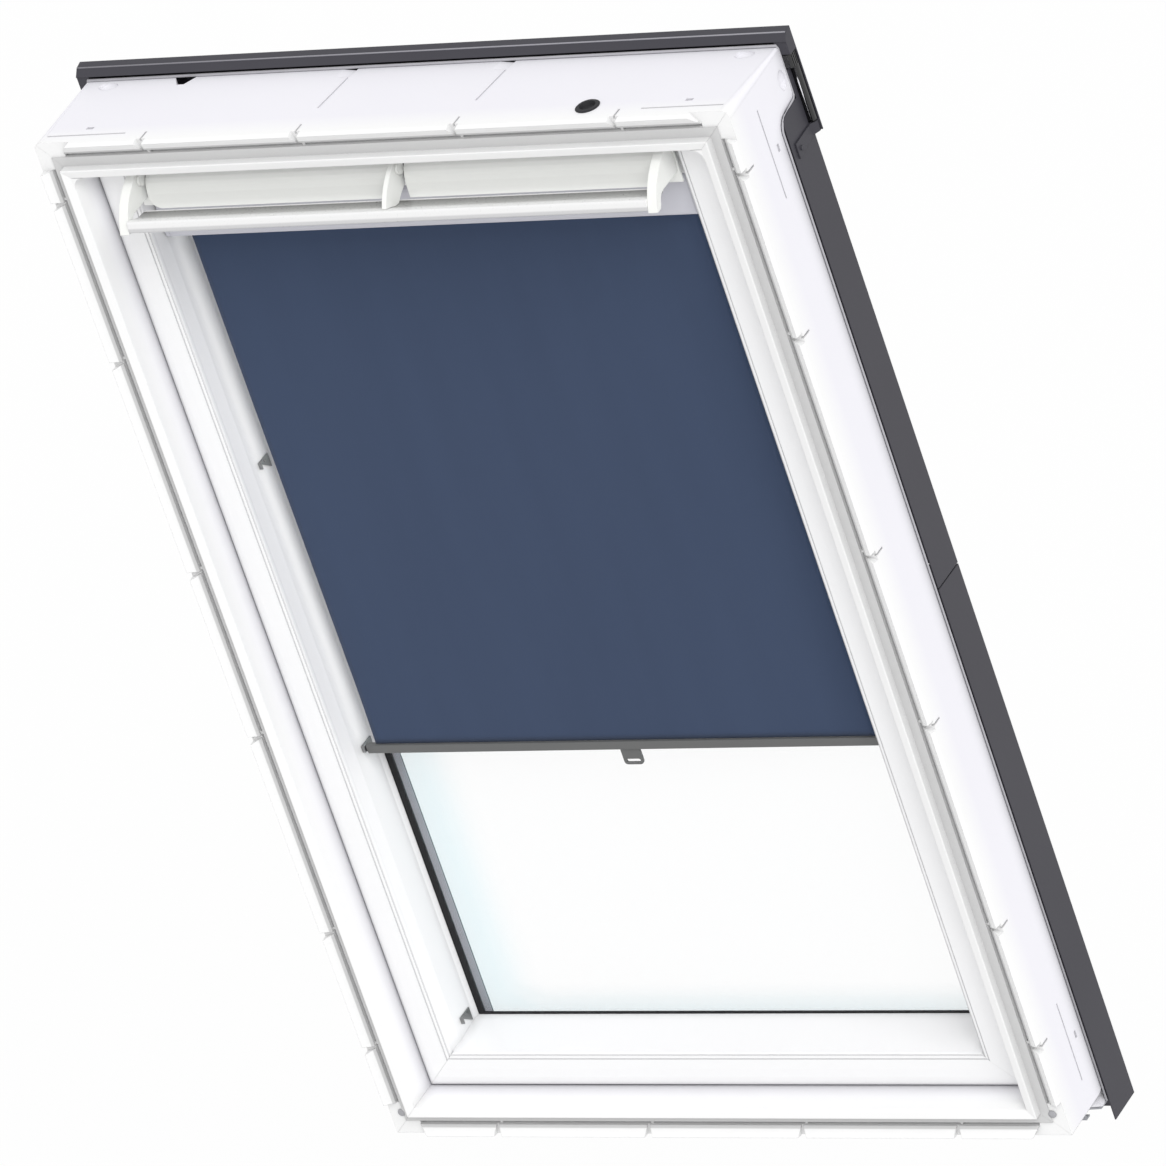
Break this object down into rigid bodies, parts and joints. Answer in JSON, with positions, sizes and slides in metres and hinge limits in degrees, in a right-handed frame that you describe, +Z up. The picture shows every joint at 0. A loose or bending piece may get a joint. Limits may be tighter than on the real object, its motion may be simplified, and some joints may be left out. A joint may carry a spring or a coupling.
{
  "type": "skylight window blind",
  "caption": "Centre-pivot roof window with a dark blue roller blind in its white sash, control bar with ventilation flap, dark outer claddings.",
  "frame": {"origin": "middle of the sill's flat underside, 36 mm outward from the room face of the frame's rim", "axes": "+Z up the window towards its head, +Y outward through the roof, +X to the right seen from the room"},
  "size_m": [0.801, 0.1705, 1.233],
  "materials": {
    "frame_white": "smooth moulded polyurethane, satin white",
    "sash_white": "smooth moulded polyurethane, satin white",
    "flap_cream": "satin, slightly warm white",
    "cladding": "satin dark grey coating",
    "black_gloss": "glossy",
    "black_rubber": "matte",
    "grey_rubber": "matte",
    "glass": "clear",
    "spacer": "dull anodised",
    "steel": "galvanised",
    "bar_lacquer": "white lacquered, semi-gloss",
    "casing": "satin lacquered",
    "fabric": "plain dark blue blackout cloth",
    "hem_bar": "satin lacquered grey",
    "foam": "open-cell filter foam"
  },
  "bodies": {
    "frame": {"frame_head": "frame_white", "frame_sill": "frame_white", "frame_jamb_left": "frame_white", "frame_jamb_right": "frame_white", "cable_grommet": "black_rubber", "weather_seal": "grey_rubber", "sill_seal": "grey_rubber", "upper_side_cover_left": "cladding", "upper_side_cover_right": "cladding", "top_hood": "cladding", "hood_end_left": "black_gloss", "hood_end_right": "black_gloss", "hood_strap_left": "cladding", "hood_strap_right": "cladding", "pivot_bracket_left": "steel", "pivot_bracket_right": "steel", "striker_plate": "steel"},
    "sash": {"sash_head": "sash_white", "sash_sill": "sash_white", "sash_stile_left": "sash_white", "sash_stile_right": "sash_white", "bar_hinge_rail": "flap_cream", "lower_side_cover_left": "cladding", "lower_side_cover_right": "cladding", "upper_sash_cover_left": "cladding", "upper_sash_cover_right": "cladding", "sash_cover_head": "cladding", "sash_cover_sill": "cladding", "glazing_gasket": "black_rubber", "inner_pane": "glass", "outer_pane": "glass", "glass_spacer": "spacer", "pivot_leaf_left": "steel", "pivot_leaf_right": "steel", "lock_case": "steel", "roller_spring": "steel", "blind_hook_high_left": "steel", "blind_hook_high_right": "steel", "blind_hook_middle_left": "steel", "blind_hook_middle_right": "steel", "blind_hook_low_left": "steel", "blind_hook_low_right": "steel", "blind_casing": "casing", "casing_end_left": "casing", "casing_end_right": "casing", "air_filter": "foam"},
    "control_bar": {"control_bar": "bar_lacquer", "bar_arm_left": "flap_cream", "bar_arm_middle": "flap_cream", "bar_arm_right": "flap_cream"},
    "vent_flap": {"vent_flap": "flap_cream"},
    "latch": {"latch_pawl": "steel"},
    "blind_bar": {"hem_bar": "hem_bar", "hem_bar_end_left": "black_rubber", "hem_bar_end_right": "black_rubber", "pull_tab": "hem_bar", "blind_fabric": "fabric"},
    "roller": {"roller_tube": "steel", "wound_fabric": "fabric"}
  },
  "joints": [
    {"name": "sash_pivot", "type": "hinge", "parent": "frame", "child": "sash", "pos_m": [0, 0.1035, 0.589], "axis": [1, 0, 0], "range_deg": [0, 145]},
    {"name": "control_bar_hinge", "type": "hinge", "parent": "sash", "child": "control_bar", "pos_m": [0, -0.014, 1.126], "axis": [-1, 0, 0], "range_deg": [0, 35]},
    {"name": "vent_flap_hinge", "type": "hinge", "parent": "sash", "child": "vent_flap", "pos_m": [0, 0.0034, 1.128], "axis": [-1, 0, 0], "range_deg": [0, 18]},
    {"name": "latch_turn", "type": "hinge", "parent": "sash", "child": "latch", "pos_m": [0, 0.035, 1.12], "axis": [-1, 0, 0], "range_deg": [0, 22]},
    {"name": "blind_slide", "type": "slide", "parent": "sash", "child": "blind_bar", "axis": [0, 0, 1], "range_m": [-0.322, 0.59], "deforming": ["blind_fabric"]},
    {"name": "roller_turn", "type": "hinge", "parent": "sash", "child": "roller", "pos_m": [0, 0.04, 1.066], "axis": [-1, 0, 0], "range_deg": [-1600, 2900]}
  ],
  "couplings": [
    {"joint": "vent_flap_hinge", "follows": "control_bar_hinge", "ratio": 0.5},
    {"joint": "latch_turn", "follows": "control_bar_hinge", "ratio": 0.6},
    {"joint": "roller_turn", "follows": "blind_slide", "rad_per_m": 85.1}
  ]
}
